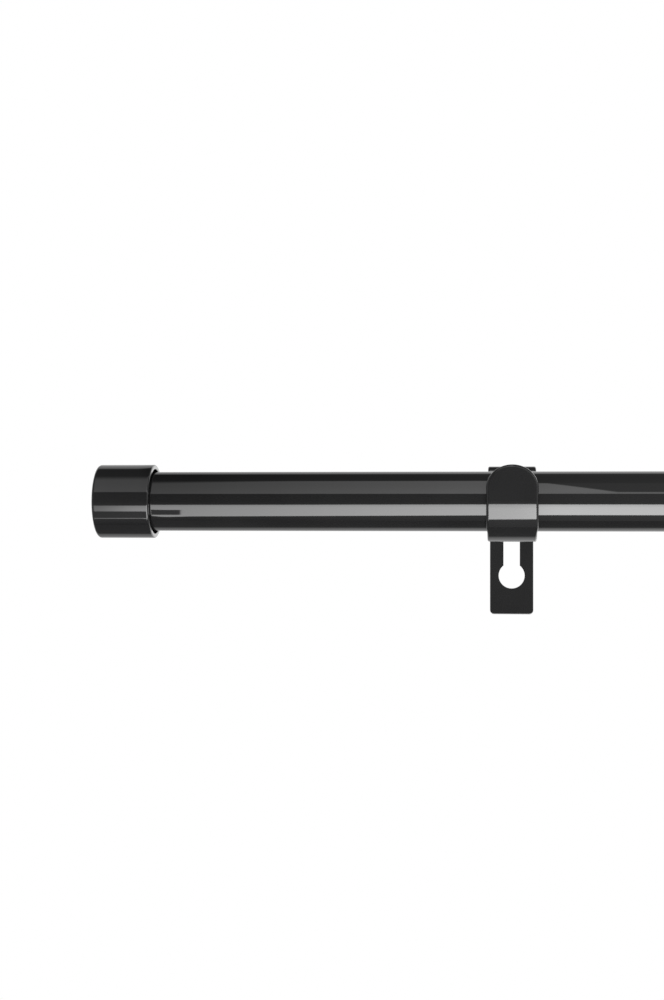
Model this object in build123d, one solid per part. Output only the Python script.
from build123d import *
import os

# A telescopic curtain rod on two folded strap brackets, in millimetres.
# x runs along the rod, y points into the wall and z is up. The origin is on the wall face of
# the left bracket, on that bracket's centre line, at the height of the rod's axis.

# Tubes
outer_tube_diameter = 19.0
outer_tube_wall = 0.7
inner_tube_wall = 0.7
tube_end_ease = 0.15

# Lengths along the rod
extension = 500.0
least_overlap = 48.0
left_overhang = 133.0
right_overhang = 101.0
bush_to_bracket = 13.15

# End caps: a cup that is wider than the tube
cap_over_tube = 2.3
cap_wall = 1.4
cap_length = 18.4
cap_floor = 1.6
cap_end_ease = 0.5
cap_lip_ease = 0.5

# Moulded inserts that hold the caps on the tubes
insert_flange = 3.0
insert_spigot_length = 13.0
insert_spigot_core = 1.6
insert_spigot_wall = 1.4
insert_ribs = 6
insert_rib_width = 1.6
insert_lead_in = 1.2
insert_lead_length = 2.5
insert_skirt_recess = 3.0

# Guide bush in the mouth of the outer tube
bush_flange = 1.5
bush_sleeve_length = 18.0
bush_sleeve_wall = 0.7
bush_flange_ease = 0.35

# Glide on the hidden end of the inner tube
glide_head_length = 8.0
glide_head_wall = 1.5
glide_web = 2.0
glide_slots = 4
glide_slot_width = 1.8
glide_nose = 0.8
glide_spigot_length = 10.0
glide_spigot_wall = 1.5
glide_nose_to_insert = 3.0

# Folded strap bracket
strap_width = 15.5
strap_thickness = 2.0
strap_edge_ease = 0.6
projection = 75.0
fold_inside_radius = 1.5
arm_over_tube = 1.85
cradle_centre_height = 0.45
tongue_width = 16.1
tongue_over_tube = 1.95
tongue_crown = 7.1
shoulder_height = 2.1
shoulder_above_cradle_floor = 0.25
plate_drop = 40.7
plate_corner_radius = 1.5
keyhole_drop = 26.8
keyhole_radius = 4.65
keyhole_slot_width = 5.85
keyhole_slot_end = 8.0

# Pad that seats a tube in its cradle
pad_thickness = 1.7
pad_inset = 1.0
pad_back_height = 5.0
pad_front_height = 4.0
pad_end_ease = 0.4

# Clearances
running_clearance = 0.08
push_clearance = 0.06
seat_clearance = 0.02
stop_clearance = 0.2

# Positions that follow from the sizes above
cap_radius = outer_tube_diameter / 2 + cap_over_tube
cap_bore_radius = cap_radius - cap_wall
outer_tube_bore = outer_tube_diameter / 2 - outer_tube_wall
bush_bore = outer_tube_bore - seat_clearance - bush_sleeve_wall
inner_tube_diameter = 2 * (bush_bore - running_clearance)
inner_tube_bore = inner_tube_diameter / 2 - inner_tube_wall
cradle_inside_radius = outer_tube_diameter / 2 + pad_thickness
cradle_outside_radius = cradle_inside_radius + strap_thickness
arm_height = outer_tube_diameter / 2 + arm_over_tube
tongue_height = outer_tube_diameter / 2 + tongue_over_tube
shoulder_foot_drop = cradle_inside_radius - cradle_centre_height - shoulder_above_cradle_floor
shoulder_top_drop = shoulder_foot_drop - shoulder_height

left_tip_x = -left_overhang
left_insert_x = left_tip_x + cap_floor
outer_tube_start_x = left_insert_x + insert_flange + stop_clearance
left_spigot_end_x = left_insert_x + insert_flange + insert_spigot_length
inner_tube_start_x = left_spigot_end_x + glide_nose_to_insert + glide_head_length
outer_tube_end_x = inner_tube_start_x + extension + least_overlap
right_bracket_x = outer_tube_end_x + bush_flange + bush_to_bracket + strap_width / 2
right_tip_x = right_bracket_x + right_overhang
right_insert_x = right_tip_x - cap_floor
inner_tube_end_x = right_insert_x - insert_flange - stop_clearance

on_rod_axis = Pos(0, -projection, 0)


# Round pieces are drawn about the x axis and then moved to the rod's axis.

def cylinder_along_x(radius, start, end):
    """Solid cylinder about the x axis between two stations."""
    return extrude(Plane.YZ.offset(start) * Circle(radius), end - start)


def ring_along_x(outside, inside, start, end):
    """Plain ring about the x axis between two stations."""
    return cylinder_along_x(outside, start, end) - cylinder_along_x(inside, start, end)


def circles_at(solid, station):
    """Round edges of a solid that lie in the plane x = station."""
    rounds = solid.edges().filter_by(GeomType.CIRCLE)
    return rounds.filter_by_position(Axis.X, station - 0.001, station + 0.001).sort_by(SortBy.RADIUS)


def tube(diameter, wall, start, end):
    """Drawn tube with its cut ends eased."""
    body = ring_along_x(diameter / 2, diameter / 2 - wall, start, end)
    return chamfer(circles_at(body, start) + circles_at(body, end), tube_end_ease)


def end_cap():
    """Cup with the outside of its floor at x = 0 and its mouth towards +x."""
    cup = cylinder_along_x(cap_radius, 0, cap_length)
    cup -= cylinder_along_x(cap_bore_radius, cap_floor, cap_length)
    cup = chamfer(circles_at(cup, 0)[-1], cap_end_ease)
    return chamfer(circles_at(cup, cap_length)[-1], cap_lip_ease)


def cap_insert(tube_diameter, tube_wall):
    """Moulded insert with its flange's back at x = 0: a ribbed spigot that pushes into the
    tube and a skirt round the outside of the tube."""
    tube_bore = tube_diameter / 2 - tube_wall
    rib_tip = tube_bore - push_clearance
    core = tube_bore - insert_spigot_core
    spigot_end = insert_flange + insert_spigot_length
    flange_radius = cap_bore_radius - seat_clearance
    flange = cylinder_along_x(flange_radius, 0, insert_flange)

    skirt_end = cap_length - cap_floor - insert_skirt_recess
    skirt_bore = tube_diameter / 2 + push_clearance
    skirt = ring_along_x(flange_radius, skirt_bore, insert_flange / 2, skirt_end)

    envelope = cylinder_along_x(rib_tip, 0, spigot_end)
    envelope = chamfer(circles_at(envelope, spigot_end), insert_lead_length, insert_lead_in)
    spigot = cylinder_along_x(core, 0, spigot_end)
    for index in range(insert_ribs):
        rib = Pos((insert_flange / 2 + spigot_end) / 2, 0, rib_tip / 2)
        rib *= Box(spigot_end - insert_flange / 2, insert_rib_width, rib_tip)
        spigot += Rot(X=index * 360 / insert_ribs) * rib
    spigot &= envelope
    spigot -= cylinder_along_x(core - insert_spigot_wall, insert_flange, spigot_end)
    return flange + skirt + spigot


def mouth_bush():
    """Guide bush with its flange's inner face at x = 0 and its sleeve towards -x."""
    sleeve = ring_along_x(outer_tube_bore - seat_clearance, bush_bore, -bush_sleeve_length, 0)
    flange = ring_along_x(outer_tube_diameter / 2, bush_bore, 0, bush_flange)
    return sleeve + chamfer(circles_at(flange, bush_flange)[-1], bush_flange_ease)


def tail_glide():
    """Glide with the inner tube's end at x = 0: a slotted head that runs in the outer tube
    and a spigot that is pressed into the inner tube."""
    head_radius = outer_tube_bore - running_clearance
    head = cylinder_along_x(head_radius, -glide_head_length, 0)
    head = chamfer(circles_at(head, -glide_head_length), glide_nose)
    head -= cylinder_along_x(head_radius - glide_head_wall, -glide_head_length, -glide_web)
    slot_length = glide_head_length - glide_web
    for index in range(glide_slots // 2):
        slot = Pos(-glide_web - slot_length / 2, 0, 0)
        slot *= Box(slot_length, glide_slot_width, outer_tube_diameter)
        head -= Rot(X=index * 360 / glide_slots) * slot
    spigot_radius = inner_tube_bore - seat_clearance
    spigot = cylinder_along_x(spigot_radius, -glide_web / 2, glide_spigot_length)
    bore = cylinder_along_x(spigot_radius - glide_spigot_wall, 0, glide_spigot_length)
    return head + spigot - bore


# The bracket is one strap: the wall plate, the arm, the back of the cradle, its round
# bottom and the tongue in front.

def strap_path():
    """Middle line of the folded strap, seen from its end, with y across and z up."""
    middle = strap_thickness / 2
    arm_z = arm_height - middle
    cradle_radius = cradle_outside_radius - middle
    back_y = -projection + cradle_radius
    front_y = -projection - cradle_radius
    folds = FilletPolyline(
        (-middle, -plate_drop),
        (-middle, arm_z),
        (back_y, arm_z),
        (back_y, cradle_centre_height),
        radius=fold_inside_radius + middle,
    )
    bottom = ThreePointArc(
        (back_y, cradle_centre_height),
        (-projection, cradle_centre_height - cradle_radius),
        (front_y, cradle_centre_height),
    )
    tongue = Line((front_y, cradle_centre_height), (front_y, tongue_height))
    return Wire(folds.edges() + bottom.edges() + tongue.edges())


def tongue_outline():
    """Front view of the tongue: a crowned top and shoulders that narrow to the strap."""
    half = tongue_width / 2
    strap_half = strap_width / 2
    crown_base = tongue_height - tongue_crown
    below = -2 * cradle_outside_radius
    crown = EllipticalCenterArc((0, crown_base), half, tongue_crown, arc_size=180)
    left_side = Line((-half, crown_base), (-half, -shoulder_top_drop))
    left_shoulder = Spline(
        (-half, -shoulder_top_drop),
        (-strap_half, -shoulder_foot_drop),
        tangents=[(0, -1), (0, -1)],
    )
    foot = Polyline(
        (-strap_half, -shoulder_foot_drop),
        (-strap_half, below),
        (strap_half, below),
        (strap_half, -shoulder_foot_drop),
    )
    right_shoulder = Spline(
        (strap_half, -shoulder_foot_drop),
        (half, -shoulder_top_drop),
        tangents=[(0, 1), (0, 1)],
    )
    right_side = Line((half, -shoulder_top_drop), (half, crown_base))
    return make_face([crown, left_side, left_shoulder, foot, right_shoulder, right_side])


def keyhole():
    """Cutter for the round entry and the slot that runs up from it."""
    slot_half = keyhole_slot_width / 2
    slot_top = -keyhole_slot_end - slot_half
    entry = Pos(0, -keyhole_drop) * Circle(keyhole_radius)
    slot = Pos(0, (slot_top - keyhole_drop) / 2) * Rectangle(keyhole_slot_width, keyhole_drop + slot_top)
    slot_round = Pos(0, slot_top) * Circle(slot_half)
    return extrude(Plane.XZ * (entry + slot + slot_round), strap_thickness, both=True)


def rim_edges(strap):
    """Edges all round the strap, without the lines of its folds and across its thickness.
    The arm's long edges also run along y, and they are kept."""
    lines_along_x = strap.edges().filter_by(Axis.X)
    foot_lines = lines_along_x.sort_by(Axis.Z)[:2]
    across = strap.edges().filter_by(Axis.Y)
    across = across.filter_by(lambda edge: edge.length < cradle_outside_radius)
    return strap.edges() - (lines_along_x - foot_lines) - across


def strap_bracket():
    """The folded strap with its tongue shaped, plate corners rounded and keyhole punched."""
    section = Plane.YZ * trace(strap_path(), strap_thickness)
    strap = extrude(section, tongue_width, both=True)
    reach = 2 * projection
    front = extrude(Plane.XZ.offset(projection) * tongue_outline(), projection)
    back = Pos(0, reach / 2 - projection, 0) * Box(strap_width, reach, reach)
    strap &= front + back
    foot_corners = strap.edges().filter_by(Axis.Y).sort_by(Axis.Z)[:2]
    strap = fillet(foot_corners, plate_corner_radius)
    strap = chamfer(rim_edges(strap), strap_edge_ease)
    return strap - keyhole()


def u_shape(radius, centre_height):
    """Filled U with its round bottom about a centre on the cradle's middle line."""
    top = 2 * cradle_outside_radius
    round_bottom = Pos(0, centre_height) * Circle(radius)
    sides = Pos(0, (centre_height + top) / 2) * Rectangle(2 * radius, top - centre_height)
    return round_bottom + sides


def cradle_pad(tube_diameter):
    """U-shaped pad, cut to the cradle's curve outside and to the tube's inside."""
    outside = u_shape(cradle_inside_radius - seat_clearance, cradle_centre_height)
    inside = u_shape(tube_diameter / 2 + seat_clearance, 0)
    legs = Pos(-cradle_outside_radius, (pad_front_height - cradle_outside_radius) / 2)
    legs *= Rectangle(2 * cradle_outside_radius, pad_front_height + cradle_outside_radius)
    back_leg = Pos(cradle_outside_radius, (pad_back_height - cradle_outside_radius) / 2)
    back_leg *= Rectangle(2 * cradle_outside_radius, pad_back_height + cradle_outside_radius)
    section = (outside - inside) & (legs + back_leg)
    pad = extrude(Plane.YZ * section, strap_width / 2 - pad_inset, both=True)
    tops = pad.edges().filter_by(Axis.X).sort_by(Axis.Z)[-4:]
    return chamfer(tops, pad_end_ease)


# Every piece in its place

cap = end_cap()
right_way_round = Pos(right_tip_x, 0, 0) * mirror(cap, Plane.YZ)
left_insert = cap_insert(outer_tube_diameter, outer_tube_wall)
right_insert = mirror(cap_insert(inner_tube_diameter, inner_tube_wall), Plane.YZ)
bracket = strap_bracket()
to_right_bracket = Pos(right_bracket_x, 0, 0)

pieces = {
    "outer_tube": on_rod_axis * tube(
        outer_tube_diameter, outer_tube_wall, outer_tube_start_x, outer_tube_end_x
    ),
    "inner_tube": on_rod_axis * tube(
        inner_tube_diameter, inner_tube_wall, inner_tube_start_x, inner_tube_end_x
    ),
    "mouth_bush": on_rod_axis * Pos(outer_tube_end_x, 0, 0) * mouth_bush(),
    "tail_glide": on_rod_axis * Pos(inner_tube_start_x, 0, 0) * tail_glide(),
    "left_cap": on_rod_axis * Pos(left_tip_x, 0, 0) * cap,
    "right_cap": on_rod_axis * right_way_round,
    "left_cap_insert": on_rod_axis * Pos(left_insert_x, 0, 0) * left_insert,
    "right_cap_insert": on_rod_axis * Pos(right_insert_x, 0, 0) * right_insert,
    "left_bracket": bracket,
    "right_bracket": to_right_bracket * bracket,
    "left_cradle_pad": on_rod_axis * cradle_pad(outer_tube_diameter),
    "right_cradle_pad": to_right_bracket * on_rod_axis * cradle_pad(inner_tube_diameter),
}

os.makedirs("parts", exist_ok=True)
for name, shape in pieces.items():
    export_step(shape, f"parts/{name}.step")
